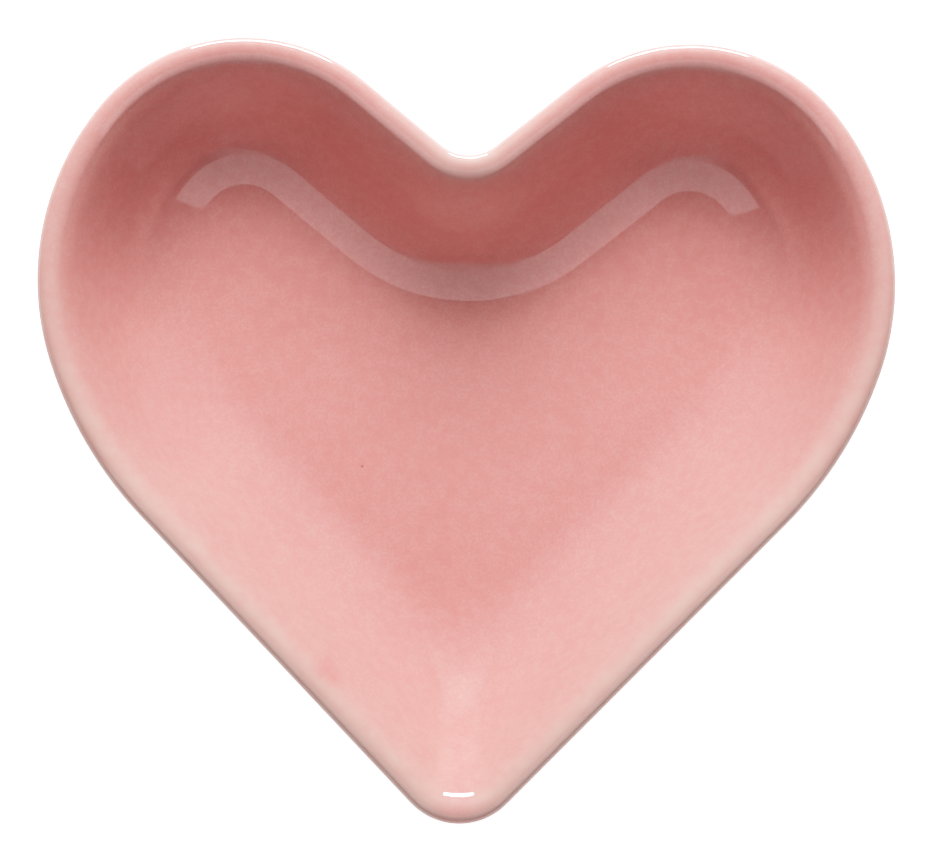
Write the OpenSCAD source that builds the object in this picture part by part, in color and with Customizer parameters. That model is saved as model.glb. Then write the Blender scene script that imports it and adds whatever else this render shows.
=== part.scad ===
// Heart-shaped trinket dish: one fired clay body on a dry foot ring, with a glaze coat over
// the well, rim and outside wall, and a second patch of glaze in the recess under the base.
// Millimetres, +Z up, the point of the heart towards -Y, the dish standing on Z = 0.

/* [Outline] */
// Radius of the rounded point of the heart
tip_r = 7; // [5:0.5:9]
// Angle between each straight side and the left-to-right line, in degrees
side_angle = 45.8; // [43:0.2:48]
// Length of each straight side
side_length = 41.2; // [36:0.2:46]
// Radius of the long bend at the top of the side
bend_r = 42.3; // [38:0.1:46]
// Angle that the long bend turns through, in degrees
bend_turn = 25.6; // [22:0.2:30]
// Radius of the widest part of the lobe
lobe_side_r = 28.7; // [26:0.1:31]
// Angle that the widest part turns through, in degrees
lobe_side_turn = 57.3; // [52:0.1:62]
// Radius over the top of the lobe
lobe_top_r = 19.6; // [18.6:0.1:21]
// Slope of the lobe down into the cleft, in degrees
cleft_slope = 39.1; // [35:0.1:42]
// Radius of the rounded cleft
cleft_r = 4.6; // [3:0.1:7]

/* [Section] */
// Height of the rim above the table
height = 20; // [18:0.5:24]
// Depth of the well below the rim
well_depth = 15; // [12:0.5:15.5]
// Distance from the outside edge in to the flat floor of the well
well_run = 17; // [15:0.5:17.5]
// Radius of the rounded point of the well's floor
floor_tip_r = 10; // [8:0.5:11]
// Radius of the lip's outside half
lip_out_r = 1.1; // [0.9:0.1:1.5]
// Radius of the lip's inside half
lip_in_r = 2; // [1.6:0.1:2.4]
// Slope at which the lip's inside arc runs into the well's curved wall, in degrees
lip_slope = 45; // [40:1:55]
// How far the lip's slope leads the wall's curve down
lip_lead = 5; // [4:0.2:5.6]
// How far the flat floor leads the wall's curve outwards
floor_lead = 9.2; // [8.4:0.2:10]

/* [Foot] */
// Distance from the outside edge in to the foot ring
foot_inset = 13.6; // [12:0.2:14]
// Width of the foot ring
foot_width = 3.2; // [2.6:0.1:3.4]
// Height of the dry foot ring
foot_height = 1.5; // [1:0.1:2]
// Bevel on the foot ring's two edges
foot_bevel = 0.4; // [0.2:0.1:0.6]
// Gap that the outside glaze leaves above and beside the foot ring
dry_gap = 0.6; // [0.5:0.1:0.8]

/* [Glaze] */
// Thickness of the glaze
glaze = 0.35; // [0.25:0.05:0.5]

/* [Hidden] */
CLAY = [0.86, 0.80, 0.73];
PINK = [0.90, 0.62, 0.59];
// Steps along a curved stretch of the section, and steps round each half of the lip
wall_steps = 8;
lip_steps = 4;

// Headings, in degrees, at the joints between the outline's arcs. The outline is walked from
// the tip, first towards +X, so a heading of 90 is the widest point and 180 a lobe's top.
bend_end = side_angle + bend_turn;
lobe_side_end = bend_end + lobe_side_turn;
shoulder = 180 + cleft_slope;

function outward(heading) = [sin(heading), -cos(heading)];

// Centres of the outline's arcs, with the tip at Y = 0
bend_c = [0, tip_r] + (tip_r - bend_r) * outward(side_angle)
       + side_length * [cos(side_angle), sin(side_angle)];
lobe_side_c = bend_c + (bend_r - lobe_side_r) * outward(bend_end);
lobe_top_c = lobe_side_c + (lobe_side_r - lobe_top_r) * outward(lobe_side_end);
// The straight shoulder runs from the lobe's top arc to the cleft's arc, which is centred on X = 0
shoulder_length = -(lobe_top_c[0] + (lobe_top_r + cleft_r) * outward(shoulder)[0]) / cos(shoulder);
cleft_c = [0, lobe_top_c[1] + (lobe_top_r + cleft_r) * outward(shoulder)[1]
       + shoulder_length * sin(shoulder)];
// Half the length of the outline, which puts the origin under the middle of the dish
mid_y = (lobe_top_c[1] + lobe_top_r) / 2;

// Centre height of a tip arc of radius r that is tangent to the sides at the given inset
function tip_centre(inset, r) =
    let (side = bend_c + (bend_r - inset) * outward(side_angle))
    side[1] + (r - side[0] * sin(side_angle)) / cos(side_angle);

// Arcs of half an outline at an inset: [centre, radius, first heading, last heading, steps,
// first step]. An arc that follows another one skips the point that they share.
function half_arcs(inset, tip) = [
    [[0, tip_centre(inset, tip)], tip, 0, side_angle, 4, 0],
    [bend_c, bend_r - inset, side_angle, bend_end, 4, 0],
    [lobe_side_c, lobe_side_r - inset, bend_end, 90, 2, 1],
    [lobe_side_c, lobe_side_r - inset, 90, lobe_side_end, 4, 1],
    [lobe_top_c, lobe_top_r - inset, lobe_side_end, 180, 5, 1],
    [lobe_top_c, lobe_top_r - inset, 180, shoulder, 4, 1],
    [cleft_c, -cleft_r - inset, shoulder, 180, 5, 0]
];

// Points of the right half, from the tip to the cleft
function half_heart(inset, tip) = [
    for (a = half_arcs(inset, tip))
        for (k = [a[5] : a[4]])
            a[0] + a[1] * outward(a[2] + (a[3] - a[2]) * k / a[4]) - [0, mid_y]
];

// One closed ring of points for a station [inset, z, tip radius] of the section
function heart_ring(station) =
    let (half = half_heart(station[0], station[2]))
    concat(
        [for (p = half) [p[0], p[1], station[1]]],
        [for (k = [len(half) - 2 : -1 : 1]) [-half[k][0], half[k][1], station[1]]]
    );

function bezier(a, b, c, d, t) =
    pow(1 - t, 3) * a + 3 * t * pow(1 - t, 2) * b + 3 * t * t * (1 - t) * c + pow(t, 3) * d;

// Section of the glazed surface as [inset, z], from the floor's edge up the well, over the lip
// and down the outside to the foot ring
wall_top = [lip_out_r + lip_in_r * sin(lip_slope), height - lip_in_r * (1 - cos(lip_slope))];
floor_edge = [well_run, height - well_depth];
floor_pull = [-floor_lead, 0];
wall_pull = lip_lead * [cos(lip_slope), -sin(lip_slope)];
well_section = [
    for (k = [0 : wall_steps - 1])
        bezier(floor_edge, floor_edge + floor_pull, wall_top + wall_pull, wall_top, k / wall_steps)
];
lip_in_section = [
    for (k = [0 : lip_steps - 1])
        let (a = lip_slope * (1 - k / lip_steps))
        [lip_out_r + lip_in_r * sin(a), height - lip_in_r * (1 - cos(a))]
];
lip_out_section = [
    for (k = [0 : lip_steps - 1])
        let (a = 90 * k / lip_steps)
        [lip_out_r * (1 - sin(a)), height - lip_out_r * (1 - cos(a))]
];
outside_top = [0, height - lip_out_r];
outside_end = [foot_inset - dry_gap, foot_height + dry_gap];
outside_drop = outside_top[1] - outside_end[1];
// Pulls that keep the wall about as thick as the lip all the way down
outside_top_pull = [0, -0.15 * outside_drop];
outside_end_pull = [-0.55 * outside_end[0], 0.04 * outside_drop];
outside_section = [
    for (k = [0 : wall_steps])
        bezier(outside_top, outside_top + outside_top_pull,
               outside_end + outside_end_pull, outside_end, k / wall_steps)
];
glazed = concat(well_section, lip_in_section, lip_out_section, outside_section);

// Radius of the outline's tip at a station that is inset from the outside edge: an even offset
// at the lip, then opening out to the floor's own radius
tip_spread = (floor_tip_r - tip_r + well_run) / pow(well_run, 2);
function tip_at(inset) = tip_r - inset + tip_spread * pow(inset, 2);

// Direction from a station of the glazed section into the clay
function into_clay(k) =
    let (run = glazed[min(k + 1, len(glazed) - 1)] - glazed[max(k - 1, 0)])
    [run[1], -run[0]] / -norm(run);

glaze_outside = [for (p = glazed) [p[0], p[1], tip_at(p[0])]];
glaze_inside = [
    for (k = [0 : len(glazed) - 1])
        let (p = glazed[k], move = glaze * into_clay(k))
        [p[0] + move[0], p[1] + move[1], tip_at(p[0]) - move[0]]
];
function backwards(list) = [for (k = [len(list) - 1 : -1 : 0]) list[k]];

// Section of the dry foot ring, from the recess under the base out to the glaze's lower edge
foot_inner = foot_inset + foot_width;
recess_z = foot_height + glaze;
foot_section = [
    for (p = [
        [foot_inner, recess_z],
        [foot_inner, foot_bevel],
        [foot_inner - foot_bevel, 0],
        [foot_inset + foot_bevel, 0],
        [foot_inset, foot_bevel],
        [foot_inset, foot_height]
    ]) [p[0], p[1], tip_at(p[0])]
];

// Closed solid through a list of stations, with a flat cap at each end. The first cap faces
// down, or up where face_up is true.
module heart_skin(stations, face_up = false) {
    n = len(heart_ring(stations[0]));
    last = (len(stations) - 1) * n;
    sides = [
        for (j = [0 : len(stations) - 2])
            for (i = [0 : n - 1])
                let (a = j * n + i, b = j * n + (i + 1) % n)
                each [[a, b + n, b], [a, a + n, b + n]]
    ];
    caps = [for (i = [1 : n - 2]) each [[0, i, i + 1], [last, last + i + 1, last + i]]];
    faces = concat(sides, caps);
    polyhedron(
        points = [for (s = stations) each heart_ring(s)],
        faces = face_up ? [for (f = faces) [f[0], f[2], f[1]]] : faces
    );
}

// Fired clay: floor, walls, lip core and the dry foot ring
module clay_body() {
    color(CLAY)
        heart_skin(concat(foot_section, backwards(glaze_inside)));
}

// One continuous coat over the well, the lip and the outside wall
module glaze_coat() {
    color(PINK)
        heart_skin(concat(glaze_outside, backwards(glaze_inside)), face_up = true);
}

// Glaze on the recessed underside, inside the foot ring
module base_glaze() {
    tip = tip_at(foot_inner);
    color(PINK)
        heart_skin([[foot_inner, foot_height, tip], [foot_inner, recess_z, tip]]);
}

clay_body();
glaze_coat();
base_glaze();
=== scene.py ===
"""Looks of the heart-shaped trinket dish: smooth glazed clay, a soft studio and the camera."""

import math

import bpy
import numpy as np
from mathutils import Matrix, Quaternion, Vector


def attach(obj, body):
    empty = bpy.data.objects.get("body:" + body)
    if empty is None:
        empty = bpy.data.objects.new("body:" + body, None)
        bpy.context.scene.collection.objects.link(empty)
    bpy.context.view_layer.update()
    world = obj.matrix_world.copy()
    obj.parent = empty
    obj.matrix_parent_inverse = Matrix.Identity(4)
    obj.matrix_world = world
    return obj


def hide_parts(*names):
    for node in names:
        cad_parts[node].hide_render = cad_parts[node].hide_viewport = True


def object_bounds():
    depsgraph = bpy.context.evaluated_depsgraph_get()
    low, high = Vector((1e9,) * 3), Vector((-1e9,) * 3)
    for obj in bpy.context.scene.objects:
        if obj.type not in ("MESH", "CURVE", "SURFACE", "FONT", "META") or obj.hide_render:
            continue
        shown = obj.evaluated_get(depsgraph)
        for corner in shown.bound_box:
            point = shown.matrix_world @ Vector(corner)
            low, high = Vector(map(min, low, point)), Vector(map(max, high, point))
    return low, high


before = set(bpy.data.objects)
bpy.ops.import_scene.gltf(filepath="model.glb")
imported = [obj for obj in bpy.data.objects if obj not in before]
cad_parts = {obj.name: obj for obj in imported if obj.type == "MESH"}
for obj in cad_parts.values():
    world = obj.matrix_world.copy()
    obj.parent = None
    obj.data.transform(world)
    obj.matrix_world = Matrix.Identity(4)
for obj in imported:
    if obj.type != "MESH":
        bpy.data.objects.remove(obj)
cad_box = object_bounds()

MM = 0.001

# ---- Shape: the CAD part's own sizes, in millimetres ----

# Outline of the heart, with its turns in degrees
TIP_R = 7.0
SIDE_ANGLE = 45.8
SIDE_LENGTH = 41.2
BEND_R = 42.3
BEND_TURN = 25.6
LOBE_SIDE_R = 28.7
LOBE_SIDE_TURN = 57.3
LOBE_TOP_R = 19.6
CLEFT_SLOPE = 39.1
CLEFT_R = 4.6
# Headings at the joints between its arcs. The outline is walked from the tip towards +X, so 90
# is the widest point and 180 a lobe's top.
BEND_END = SIDE_ANGLE + BEND_TURN
LOBE_SIDE_END = BEND_END + LOBE_SIDE_TURN
SHOULDER = 180 + CLEFT_SLOPE

# Section through the wall
HEIGHT = 20.0
WELL_DEPTH = 15.0
WELL_RUN = 17.0
FLOOR_TIP_R = 10.0
FLOOR_LEAD = 9.2
LIP_OUT_R = 1.1
LIP_IN_R = 2.0
LIP_SLOPE = math.radians(45)
LIP_LEAD = 5.0
FOOT_INSET = 13.6
FOOT_WIDTH = 3.2
FOOT_INNER = FOOT_INSET + FOOT_WIDTH
FOOT_HEIGHT = 1.5
DRY_GAP = 0.6
GLAZE = 0.35
# Pulls of the outside wall's curve at the lip and at the foot, as shares of its run and drop
OUTSIDE_TOP_PULL = (0, -0.15)
OUTSIDE_END_PULL = (-0.55, 0.04)

# Small roundings: of the foot ring's edges, of the base glaze where it climbs the foot ring, and
# of the coat's lower edge, a bead that swells in the way given as (inset, z)
FOOT_ROUND = 0.4
BASE_FILLET = 0.3
BEAD_SWELL = 0.14
BEAD_WAY = (0.75, -0.66)

# Steps along each stretch of the outline's half: tip, side, bend, lobe side, lobe top, shoulder, cleft
OUTLINE_STEPS = (14, 26, 14, 26, 34, 8, 14)
WALL_STEPS = 44
LIP_STEPS = 14
EDGE_STEPS = 6

# ---- Looks ----

# The glaze has run thinner on the lip, and less so high on the wall; on the front walls this paleness is
# also painted light, where the key falls.
# Each pair says where this is gone and where it is full, in millimetres down the section from the lip's
# crest.
LIP_FADE_IN = (3.3, -0.5)
LIP_FADE_OUT = (7.0, 2.2)
WALL_FADE = (26.0, 0.0)
WALL_SHARE = 0.42
# The same pairs along Y: the paleness goes towards the back, as painted shade where the back is in shade,
# though a rest of it stays on the lip; the front walls keep it as painted light
LIP_SHADED_BACK = (28, 10)
LIP_SHADED_REST = 0.1
WALL_LIT_FRONT = (30, -5)
# The paleness is weaker along the middle of the point: where this is gone and full, away from X = 0
POINT_FADE = (7.0, 0.0)
POINT_SHARE = 0.6

# Colours are linear red, green, blue and alpha
WHITE = (1, 1, 1, 1)
BLACK = (0, 0, 0, 1)
GLAZE_DEEP = (0.745, 0.298, 0.280, 1)
GLAZE_PALE = (0.770, 0.324, 0.305, 1)
GLAZE_BRIGHT = (0.810, 0.400, 0.380, 1)
GLAZE_SPECK = (0.730, 0.265, 0.248, 1)
GLAZE_BLUSH = (0.680, 0.225, 0.211, 1)
# Cream of the thinned glaze on the lip; on the front walls it is also painted light
CREAM_AND_PAINTED_LIGHT = (0.740, 0.445, 0.398, 1)
PINHOLE_DARK = (0.48, 0.18, 0.14, 1)
CLAY_BUFF = (0.66, 0.56, 0.46, 1)
CLAY_TOASTED = (0.58, 0.45, 0.34, 1)
CLAY_GRAIN = (0.75, 0.67, 0.57, 1)
CLAY_IRON = (0.22, 0.13, 0.08, 1)

# Places in millimetres of the blush on the lip and the pinhole in the floor
BLUSH_AT = (-14.0, -25.6, 18.4)
PINHOLE_AT = (-10.85, -3.2, 5.0)

# ---- Studio: angles in degrees, distances in metres ----

# Lobes of the sky: azimuth, elevation and strength; and the sky's strength where the camera sees it
SKY_LOBES = ((0, 35, 1.85), (180, 20, 1.4))
SKY_SHARPNESS = 8
SKY_SEEN = 2.2
# The table top, with its own glow and what the camera sees on top of that
FLOOR_SIZE = 6
FLOOR_GREY = (0.78, 0.78, 0.78, 1)
FLOOR_GLOW = 1.0
FLOOR_SEEN = 1.0
# The curved sheet in front: its lower and upper edge, and how far it reaches round each side
SHEET_ELEVATIONS = (23, 66)
SHEET_HALF_TURN = 62
SHEET_ROWS = 8
SHEET_COLUMNS = 24
SHEET_DISTANCE = 0.5
SHEET_GLOW = 1.8
CAMERA_ELEVATION = 87
CAMERA_DISTANCE = 0.6
CAMERA_ROLL = 0.86
SENSOR_WIDTH = 36
# The middle of the picture and its width at the rim, in millimetres
CAMERA_AIM = (0.25, -0.15)
VIEW_WIDTH = 97.5
# Display curve as (light, brightness) pairs
FILM_CURVE = ((0, 0), (0.1, 0.084), (0.25, 0.245), (0.5, 0.48), (0.8, 0.7), (1.2, 0.86), (2.2, 1.0))


# ---- Outline of the heart ----

def outward(heading):
    """Unit vector to the outside of the outline at a heading, or a row of them."""
    angle = np.radians(heading)
    return np.stack([np.sin(angle), -np.cos(angle)], -1)


def along(heading):
    """Unit vector along the outline at a heading."""
    angle = math.radians(heading)
    return np.array([math.cos(angle), math.sin(angle)])


# Centres of the outline's arcs, with the tip at Y = 0, and half the outline's length
BEND_C = np.array([0, TIP_R]) + (TIP_R - BEND_R) * outward(SIDE_ANGLE) + SIDE_LENGTH * along(SIDE_ANGLE)
LOBE_SIDE_C = BEND_C + (BEND_R - LOBE_SIDE_R) * outward(BEND_END)
LOBE_TOP_C = LOBE_SIDE_C + (LOBE_SIDE_R - LOBE_TOP_R) * outward(LOBE_SIDE_END)
SHOULDER_FOOT = LOBE_TOP_C + (LOBE_TOP_R + CLEFT_R) * outward(SHOULDER)
CLEFT_C = SHOULDER_FOOT - SHOULDER_FOOT[0] / along(SHOULDER)[0] * along(SHOULDER)
MID_Y = (LOBE_TOP_C[1] + LOBE_TOP_R) / 2


def arc(centre, radius, first, last, steps, ends=0):
    """Points of an arc between two headings, with its last point only where ends is 1."""
    headings = first + (last - first) * np.arange(steps + ends) / steps
    return centre + radius * outward(headings)


def line(start, end, steps):
    """Points of a straight line, without its last one."""
    return start + (end - start) * np.arange(steps)[:, None] / steps


def half_heart(inset, tip):
    """Right half of the outline at an inset, from the tip to the cleft, with a tip arc of radius tip."""
    tip_steps, side_steps, bend_steps, lobe_steps, top_steps, shoulder_steps, cleft_steps = OUTLINE_STEPS
    bend = arc(BEND_C, BEND_R - inset, SIDE_ANGLE, BEND_END, bend_steps)
    slope = math.radians(SIDE_ANGLE)
    tip_c = np.array([0, bend[0][1] + (tip - bend[0][0] * math.sin(slope)) / math.cos(slope)])
    side_start = tip_c + tip * outward(SIDE_ANGLE)
    top_end = LOBE_TOP_C + (LOBE_TOP_R - inset) * outward(SHOULDER)
    cleft = arc(CLEFT_C, -CLEFT_R - inset, SHOULDER, 180, cleft_steps, ends=1)
    stretches = [
        arc(tip_c, tip, 0, SIDE_ANGLE, tip_steps),
        line(side_start, bend[0], side_steps),
        bend,
        arc(LOBE_SIDE_C, LOBE_SIDE_R - inset, BEND_END, LOBE_SIDE_END, lobe_steps),
        arc(LOBE_TOP_C, LOBE_TOP_R - inset, LOBE_SIDE_END, SHOULDER, top_steps),
        line(top_end, cleft[0], shoulder_steps),
        cleft,
    ]
    return np.concatenate(stretches) - [0, MID_Y]


def heart_ring(station):
    """Closed ring of points for a station (inset, z, tip radius) of the section."""
    inset, z, tip = station
    right = half_heart(inset, tip)
    left = right[-2:0:-1] * [-1, 1]
    outline = np.concatenate([right, left])
    return np.column_stack([outline, np.full(len(outline), z)])


# ---- Section through the wall ----

def bezier(start, start_pull, end_pull, end, steps):
    """Points of a cubic curve, without its last one; each pull is the step from an end to its handle."""
    t = np.arange(steps)[:, None] / steps
    from_start = (1 - t) ** 3 * start + 3 * t * (1 - t) ** 2 * (start + start_pull)
    from_end = 3 * t * t * (1 - t) * (end + end_pull) + t ** 3 * end
    return from_start + from_end


def lip_arc(radius, first, last):
    """Part of the lip's rounding between two slopes: above 0 towards the well, 0 at the crest."""
    slopes = first + (last - first) * np.arange(LIP_STEPS) / LIP_STEPS
    return np.column_stack([LIP_OUT_R + radius * np.sin(slopes), HEIGHT - radius * (1 - np.cos(slopes))])


def glazed_section():
    """The glazed surface as (inset, z): up the well, over the lip and down to the foot."""
    lip_in = lip_arc(LIP_IN_R, LIP_SLOPE, 0)
    lip_out = lip_arc(LIP_OUT_R, 0, -math.pi / 2)
    floor_edge = np.array([WELL_RUN, HEIGHT - WELL_DEPTH])
    floor_pull = np.array([-FLOOR_LEAD, 0])
    wall_pull = LIP_LEAD * np.array([math.cos(LIP_SLOPE), -math.sin(LIP_SLOPE)])
    well = bezier(floor_edge, floor_pull, wall_pull, lip_in[0], WALL_STEPS)
    top = np.array([0, HEIGHT - LIP_OUT_R])
    end = np.array([FOOT_INSET - DRY_GAP, FOOT_HEIGHT + DRY_GAP])
    reach = np.array([end[0], top[1] - end[1]])
    outside = bezier(top, OUTSIDE_TOP_PULL * reach, OUTSIDE_END_PULL * reach, end, WALL_STEPS)
    return np.concatenate([well, lip_in, lip_out, outside, [end]])


def tip_at(inset):
    """Radius of the outline's tip at an inset: an even offset at the lip, then opening out."""
    spread = (FLOOR_TIP_R - TIP_R + WELL_RUN) / WELL_RUN ** 2
    return TIP_R - inset + spread * inset ** 2


def into_clay(section):
    """Unit vectors from the glazed section into the clay. The section starts flat, on the floor."""
    run = np.gradient(section, axis=0)
    run[0] = [-1, 0]
    return np.column_stack([-run[:, 1], run[:, 0]]) / np.linalg.norm(run, axis=1)[:, None]


def glaze_stations(depth):
    """Stations of the surface that lies depth below the glaze's outside."""
    section = glazed_section()
    move = depth * into_clay(section)
    return np.column_stack([section + move, tip_at(section[:, 0]) - move[:, 0]])


def with_tips(section):
    """Adds the tip radius to each (inset, z) point."""
    section = np.array(section)
    return np.column_stack([section, tip_at(section[:, 0])])


def round_corner(corner, before, after, radius):
    """Points that round a right-angled corner of a section, between the ways back and on from it."""
    angle = np.linspace(0, math.pi / 2, EDGE_STEPS + 1)[:, None]
    before, after = np.array(before), np.array(after)
    centre = np.array(corner) + radius * (before + after)
    return centre - radius * (np.cos(angle) * after + np.sin(angle) * before)


# ---- Pieces ----

def heart_skin(name, stations, face_up):
    """Closed smooth piece through the stations, capped at both ends; the first cap faces up or down."""
    rings = [heart_ring(station) for station in stations]
    count = len(rings[0])
    last = (len(rings) - 1) * count
    scale = (cad_box[1][0] - cad_box[0][0]) / (2 * (LOBE_SIDE_C[0] + LOBE_SIDE_R))
    faces = [tuple(range(count - 1, -1, -1))]
    for base in range(0, last, count):
        for i in range(count):
            a, b = base + i, base + (i + 1) % count
            faces.append((a, b, b + count, a + count))
    faces.append(tuple(range(last, last + count)))
    if face_up:
        faces = [face[::-1] for face in faces]
    mesh = bpy.data.meshes.new(name)
    mesh.from_pydata((np.concatenate(rings) * scale).tolist(), [], faces)
    mesh.validate()
    mesh.polygons.foreach_set("use_smooth", [True] * len(mesh.polygons))
    piece = bpy.data.objects.new(name, mesh)
    bpy.context.scene.collection.objects.link(piece)
    return piece


def smoothstep(gone, full, value):
    """Smooth step from 0 where the value is at gone to 1 where it is at full."""
    t = np.clip((value - gone) / (full - gone), 0, 1)
    return t * t * (3 - 2 * t)


def thin_glaze_and_painted_light(stations, ring):
    """Paleness at each point from thinned glaze, most on the lip, with painted light on the front walls
    and painted shade towards the back; less in the point.
    """
    run = np.linalg.norm(np.diff(stations[:, :2], axis=0), axis=1)
    walked = np.concatenate([[0], np.cumsum(run)])
    past_crest = walked - walked[np.argmax(stations[:, 1])]
    outside = smoothstep(*LIP_FADE_OUT, past_crest)
    lip = np.where(past_crest < 0, smoothstep(*LIP_FADE_IN, -past_crest), outside)
    wall = np.where(past_crest < 0, smoothstep(*WALL_FADE, -past_crest), outside)
    x, y = ring[:, 0], ring[:, 1]
    lip_unshaded = LIP_SHADED_REST + (1 - LIP_SHADED_REST) * smoothstep(*LIP_SHADED_BACK, y)
    wall_lit = smoothstep(*WALL_LIT_FRONT, y)
    at_point = POINT_SHARE * smoothstep(*POINT_FADE, np.abs(x)) * (y < 0)
    paleness = (1 - WALL_SHARE) * np.outer(lip, lip_unshaded) + WALL_SHARE * np.outer(wall, wall_lit)
    return paleness * (1 - at_point)


def make_glaze_coat():
    """Coat over the well, the lip and the outside wall, which ends above the foot in a round bead."""
    outside = glaze_stations(0)
    inside = glaze_stations(GLAZE)
    share = np.linspace(0, 1, EDGE_STEPS + 1)[1:-1, None]
    way = np.array([*BEAD_WAY, -BEAD_WAY[0]])
    bead = outside[-1] + (inside[-1] - outside[-1]) * share + BEAD_SWELL * np.sin(math.pi * share) * way
    stations = np.concatenate([outside, bead, inside[::-1]])
    piece = heart_skin("glaze_coat_fine", stations, face_up=True)
    ring = heart_ring(outside[0])
    # Paleness: thinned glaze on the lip, with painted light on the front walls and painted shade towards
    # the back
    thin_and_lit = np.zeros((len(stations), len(ring)))
    thin_and_lit[: len(outside)] = thin_glaze_and_painted_light(outside, ring)
    piece.data.attributes.new("thin_and_lit", "FLOAT", "POINT").data.foreach_set("value", thin_and_lit.ravel())
    return piece


def make_clay_body():
    """Fired clay under the glaze, down to the bare foot ring with its rounded edges."""
    foot = [
        [[FOOT_INNER, FOOT_HEIGHT + GLAZE]],
        round_corner([FOOT_INNER, 0], [0, 1], [-1, 0], FOOT_ROUND),
        round_corner([FOOT_INSET, 0], [1, 0], [0, 1], FOOT_ROUND),
        [[FOOT_INSET, FOOT_HEIGHT]],
    ]
    stations = np.concatenate([with_tips(np.concatenate(foot)), glaze_stations(GLAZE)[::-1]])
    return heart_skin("clay_body_fine", stations, face_up=False)


def make_base_glaze():
    """Glaze in the recess under the base, with a small fillet where it meets the foot."""
    angle = np.linspace(math.pi / 2, 0, EDGE_STEPS + 1)
    inset = FOOT_INNER + BASE_FILLET * (1 - np.cos(angle))
    z = FOOT_HEIGHT - BASE_FILLET * (1 - np.sin(angle))
    section = np.concatenate([np.column_stack([inset, z]), [[FOOT_INNER, FOOT_HEIGHT + GLAZE]]])
    return heart_skin("base_glaze_fine", with_tips(section), face_up=False)


# ---- Materials ----

class Nodes:
    """Short ways to add nodes to the tree of a material or the world."""

    def __init__(self, owner):
        owner.use_nodes = True
        self.tree = owner.node_tree

    def add(self, kind, **settings):
        """Adds a node and sets its properties."""
        node = self.tree.nodes.new(kind)
        for key, value in settings.items():
            setattr(node, key, value)
        return node

    def put(self, value, socket):
        """Links a socket to another, or sets its value."""
        if isinstance(value, bpy.types.NodeSocket):
            self.tree.links.new(value, socket)
        else:
            socket.default_value = value

    def math(self, operation, *values):
        """Result of a maths operation on numbers or sockets."""
        node = self.add("ShaderNodeMath", operation=operation)
        for value, socket in zip(values, node.inputs):
            self.put(value, socket)
        return node.outputs[0]

    def vector_math(self, operation, socket, vector):
        """Number that a vector operation gives for a socket and a fixed vector."""
        node = self.add("ShaderNodeVectorMath", operation=operation)
        self.put(socket, node.inputs[0])
        self.put(vector, node.inputs[1])
        return node.outputs["Value"]


class Finish(Nodes):
    """Nodes of a material for the dish, with fields that vary from place to place on a piece."""

    def __init__(self, name):
        self.material = bpy.data.materials.new(name)
        super().__init__(self.material)
        self.shader = self.tree.nodes["Principled BSDF"]
        self.place = self.add("ShaderNodeTexCoord").outputs["Object"]

    def noise(self, size_mm, detail):
        """Noise of about that size, from 0 to 1."""
        node = self.add("ShaderNodeTexNoise")
        self.put(self.place, node.inputs["Vector"])
        node.inputs["Scale"].default_value = 1 / (size_mm * MM)
        node.inputs["Detail"].default_value = detail
        return node.outputs["Fac"]

    def remap(self, value, low, high, to_low=0.0, to_high=1.0):
        """Smooth step of a field from to_low, at or below low, to to_high, at or above high."""
        node = self.add("ShaderNodeMapRange", interpolation_type="SMOOTHSTEP")
        self.put(value, node.inputs["Value"])
        for key, number in zip(("From Min", "From Max", "To Min", "To Max"), (low, high, to_low, to_high)):
            node.inputs[key].default_value = number
        return node.outputs["Result"]

    def mottle(self, size_mm, detail=2.0, low=0.3, high=0.7, to_low=0.0, to_high=1.0):
        """Noise with more contrast, between to_low and to_high."""
        return self.remap(self.noise(size_mm, detail), low, high, to_low, to_high)

    def mix(self, colour, other, field, share=1.0):
        """The colour, mixed with up to a share of the other where the field is 1."""
        factor = field if share == 1.0 else self.math("MULTIPLY", field, share)
        node = self.add("ShaderNodeMix", data_type="RGBA")
        for value, socket in ((factor, node.inputs[0]), (colour, node.inputs[6]), (other, node.inputs[7])):
            self.put(value, socket)
        return node.outputs[2]

    def spot(self, centre_mm, radius_mm, soft_mm, wobble_mm=0.0):
        """1 inside a round spot at a place on the piece, 0 outside it; a wobble makes its edge uneven."""
        distance = self.vector_math("DISTANCE", self.place, [c * MM for c in centre_mm])
        if wobble_mm:
            bend = self.math("MULTIPLY", self.noise(size_mm=1.6, detail=3.0), wobble_mm * MM)
            distance = self.math("ADD", distance, bend)
        return self.remap(distance, (radius_mm + soft_mm) * MM, (radius_mm - soft_mm) * MM)

    def bump(self, *bumps):
        """Adds bumps, each (0 to 1 field, height in millimetres), and links them to the shader."""
        normal = None
        for field, height_mm in bumps:
            node = self.add("ShaderNodeBump")
            node.inputs["Strength"].default_value = 1.0
            node.inputs["Distance"].default_value = height_mm * MM
            self.put(field, node.inputs["Height"])
            if normal is not None:
                self.put(normal, node.inputs["Normal"])
            normal = node.outputs["Normal"]
        self.put(normal, self.shader.inputs["Normal"])


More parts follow.
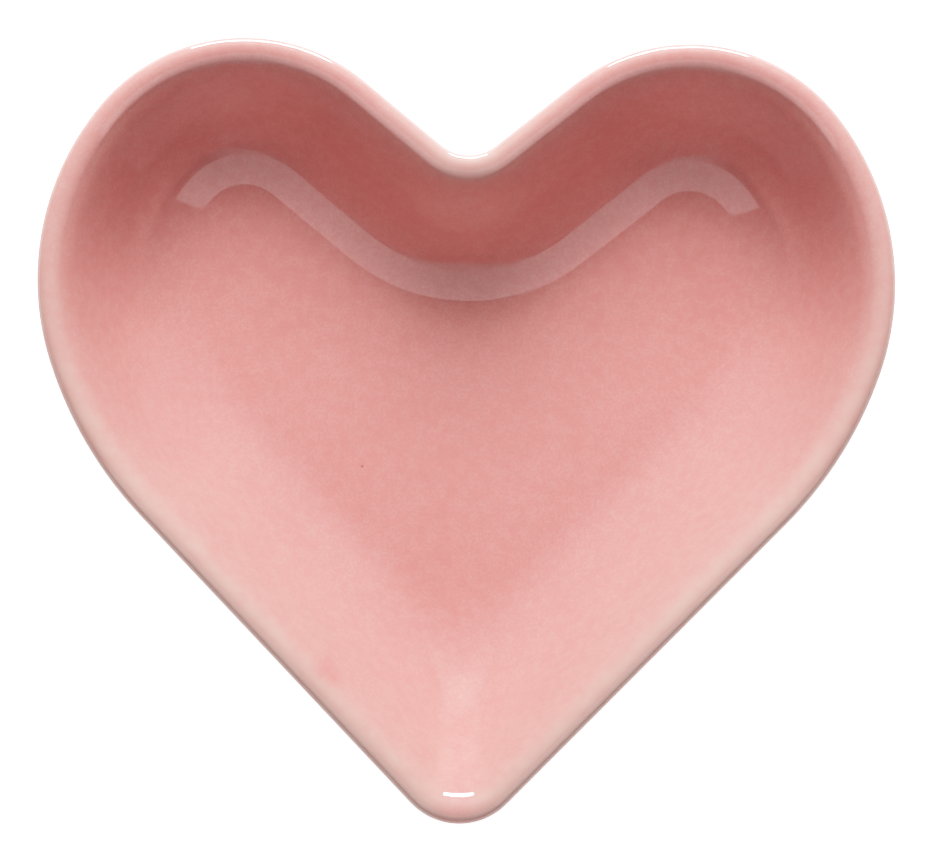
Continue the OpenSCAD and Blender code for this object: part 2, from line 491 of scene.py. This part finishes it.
def pink_glaze():
    """Glossy pink glaze: finely mottled, thinned and creamy on the lip, paler on the front walls as
    painted light and pinker at the back as painted shade, with a blush and a pinhole.
    """
    finish = Finish("pink_glaze")
    pink = finish.mix(GLAZE_DEEP, GLAZE_PALE, finish.mottle(9.0))
    pink = finish.mix(pink, GLAZE_BRIGHT, finish.mottle(1.1, detail=3.0), share=0.4)
    pink = finish.mix(pink, GLAZE_SPECK, finish.mottle(0.28, low=0.35, high=0.65), share=0.5)
    # Paleness from thinned glaze, with painted light on the front walls and painted shade towards the back
    thin_and_lit = finish.add("ShaderNodeAttribute", attribute_name="thin_and_lit").outputs["Fac"]
    uneven = finish.mottle(2.2, detail=3.0, to_low=0.85, to_high=1.15)
    blush = finish.spot(BLUSH_AT, radius_mm=2.3, soft_mm=1.9, wobble_mm=1.6)
    beside_blush = finish.remap(blush, 0.0, 1.0, to_low=1.0, to_high=0.35)
    lip = finish.math("MULTIPLY", finish.math("MULTIPLY", thin_and_lit, uneven), beside_blush)
    colour = finish.mix(pink, CREAM_AND_PAINTED_LIGHT, lip)
    colour = finish.mix(colour, GLAZE_BLUSH, blush, share=0.28)
    colour = finish.mix(colour, PINHOLE_DARK, finish.spot(PINHOLE_AT, radius_mm=0.14, soft_mm=0.09))
    finish.put(colour, finish.shader.inputs["Base Color"])
    gloss = finish.mottle(3.0, detail=3.0, to_low=0.035, to_high=0.07)
    finish.put(gloss, finish.shader.inputs["Roughness"])
    finish.shader.inputs["IOR"].default_value = 1.5
    finish.bump((finish.noise(6.0, detail=1.0), 0.02), (finish.noise(0.7, detail=2.0), 0.0012))
    return finish.material


def fired_clay():
    """Bare buff stoneware on the foot ring: gritty, matt, a little toasted, with iron specks."""
    finish = Finish("fired_clay")
    grain = finish.mottle(0.35, detail=4.0)
    colour = finish.mix(CLAY_BUFF, CLAY_TOASTED, finish.mottle(5.0, low=0.35))
    colour = finish.mix(colour, CLAY_GRAIN, grain, share=0.35)
    iron = finish.mottle(0.5, detail=1.0, low=0.7, high=0.76)
    colour = finish.mix(colour, CLAY_IRON, iron, share=0.6)
    finish.put(colour, finish.shader.inputs["Base Color"])
    finish.put(finish.remap(grain, 0, 1, to_low=0.78, to_high=0.92), finish.shader.inputs["Roughness"])
    finish.bump((finish.noise(1.2, detail=3.0), 0.04), (finish.noise(0.25, detail=3.0), 0.02))
    return finish.material


# ---- Studio ----

def direction(azimuth, elevation):
    """Unit vector from the dish. Azimuth 0 is behind it, +Y, and 90 is +X."""
    turn, rise = math.radians(azimuth), math.radians(elevation)
    return Vector((math.sin(turn) * math.cos(rise), math.cos(turn) * math.cos(rise), math.sin(rise)))


def make_camera():
    """Camera almost straight above the dish, turned a little so that the heart leans as it lay."""
    data = bpy.data.cameras.new("camera")
    camera = bpy.data.objects.new("camera", data)
    bpy.context.scene.collection.objects.link(camera)
    bpy.context.scene.camera = camera
    back = direction(180, CAMERA_ELEVATION)
    target = Vector((CAMERA_AIM[0] * MM, CAMERA_AIM[1] * MM, cad_box[1][2]))
    camera.location = target + back * CAMERA_DISTANCE
    camera.rotation_mode = "QUATERNION"
    roll = Quaternion((0, 0, 1), math.radians(CAMERA_ROLL))
    camera.rotation_quaternion = (-back).to_track_quat("-Z", "Y") @ roll
    data.sensor_width = SENSOR_WIDTH
    data.lens = SENSOR_WIDTH * CAMERA_DISTANCE / (VIEW_WIDTH * MM)
    data.clip_start = 0.01


def set_film_curve():
    """Display curve with a soft shoulder, as a camera has."""
    settings = bpy.context.scene.view_settings
    settings.view_transform = "Standard"
    settings.use_curve_mapping = True
    mapping = settings.curve_mapping
    mapping.clip_max_x = FILM_CURVE[-1][0]
    curve = mapping.curves[3]
    curve.points[0].location = FILM_CURVE[0]
    curve.points[-1].location = FILM_CURVE[-1]
    for point in FILM_CURVE[1:-1]:
        curve.points.new(*point)
    mapping.update()


def make_sky():
    """Soft light from a few wide lobes of the sky; plain white where the camera sees the sky itself."""
    world = bpy.data.worlds.new("studio")
    bpy.context.scene.world = world
    nodes = Nodes(world)
    way = nodes.add("ShaderNodeTexCoord").outputs["Generated"]
    level = 0.0
    for azimuth, elevation, strength in SKY_LOBES:
        facing = nodes.vector_math("DOT_PRODUCT", way, direction(azimuth, elevation))
        lobe = nodes.math("POWER", nodes.math("MAXIMUM", facing, 0.0), SKY_SHARPNESS)
        level = nodes.math("ADD", level, nodes.math("MULTIPLY", lobe, strength))
    seen = nodes.add("ShaderNodeLightPath").outputs["Is Camera Ray"]
    level = nodes.math("MAXIMUM", level, nodes.math("MULTIPLY", seen, SKY_SEEN))
    shader = nodes.tree.nodes["Background"]
    shader.inputs["Color"].default_value = WHITE
    nodes.put(level, shader.inputs["Strength"])


def glow_material(name, base):
    """Matt material that glows white; gives the material, its nodes and the socket for the strength."""
    material = bpy.data.materials.new(name)
    nodes = Nodes(material)
    sockets = nodes.tree.nodes["Principled BSDF"].inputs
    sockets["Base Color"].default_value = base
    sockets["Roughness"].default_value = 0.9
    sockets["Specular IOR Level"].default_value = 0.0
    sockets["Emission Color"].default_value = WHITE
    return material, nodes, sockets["Emission Strength"]


def make_floor():
    """Plain pale table top, which glows a little and looks white to the camera."""
    bpy.ops.mesh.primitive_plane_add(size=FLOOR_SIZE, location=(0, 0, cad_box[0][2]))
    floor = bpy.context.object
    floor.name = "table_top"
    material, nodes, strength = glow_material("table_top", FLOOR_GREY)
    seen = nodes.add("ShaderNodeLightPath").outputs["Is Camera Ray"]
    nodes.put(nodes.math("MULTIPLY_ADD", seen, FLOOR_SEEN, FLOOR_GLOW), strength)
    floor.data.materials.append(material)


def soft_box(name, azimuth, elevation, distance, width, height, radiance):
    """Rectangular light that faces the dish."""
    light = bpy.data.lights.new(name, "AREA")
    light.shape = "RECTANGLE"
    light.size = width
    light.size_y = height
    light.energy = radiance * math.pi * width * height
    lamp = bpy.data.objects.new(name, light)
    bpy.context.scene.collection.objects.link(lamp)
    lamp.location = direction(azimuth, elevation) * distance
    lamp.rotation_euler = direction(azimuth, elevation).to_track_quat("Z", "Y").to_euler()
    lamp.visible_camera = False
    return lamp


def make_lamps():
    """A key light that shades the dish, and a low strip that shows only as highlights on the lip."""
    key = soft_box("key", azimuth=0, elevation=40, distance=0.55, width=0.2, height=0.3, radiance=24)
    key.visible_glossy = False
    strip = soft_box("rim_strip", azimuth=0, elevation=4.5, distance=0.5, width=0.36, height=0.08,
                     radiance=130)
    strip.visible_diffuse = False


def make_front_sheet():
    """Curved white sheet in front, which shows only as the pale band in the back wall's glaze."""
    azimuths = np.linspace(180 - SHEET_HALF_TURN, 180 + SHEET_HALF_TURN, SHEET_COLUMNS + 1)
    elevations = np.linspace(*SHEET_ELEVATIONS, SHEET_ROWS + 1)
    corners = [direction(turn, rise) * SHEET_DISTANCE for rise in elevations for turn in azimuths]
    up = SHEET_COLUMNS + 1
    starts = [row * up + column for row in range(SHEET_ROWS) for column in range(SHEET_COLUMNS)]
    mesh = bpy.data.meshes.new("front_sheet")
    mesh.from_pydata(corners, [], [(i, i + 1, i + 1 + up, i + up) for i in starts])
    material, nodes, strength = glow_material("front_sheet", BLACK)
    nodes.put(SHEET_GLOW, strength)
    mesh.materials.append(material)
    sheet = bpy.data.objects.new("front_sheet", mesh)
    bpy.context.scene.collection.objects.link(sheet)
    sheet.visible_camera = False
    sheet.visible_diffuse = False
    sheet.visible_shadow = False


make_camera()
set_film_curve()
make_sky()
make_floor()
make_lamps()
make_front_sheet()

glaze, clay = pink_glaze(), fired_clay()
pieces = (
    (make_clay_body(), clay, "clay_body", "fired_clay"),
    (make_glaze_coat(), glaze, "glaze_coat", "pink_glaze"),
    (make_base_glaze(), glaze, "base_glaze", "pink_glaze"),
)
for piece, material, node, slot in pieces:
    piece.data.materials.append(material)
    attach(piece, "root")
    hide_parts(node)
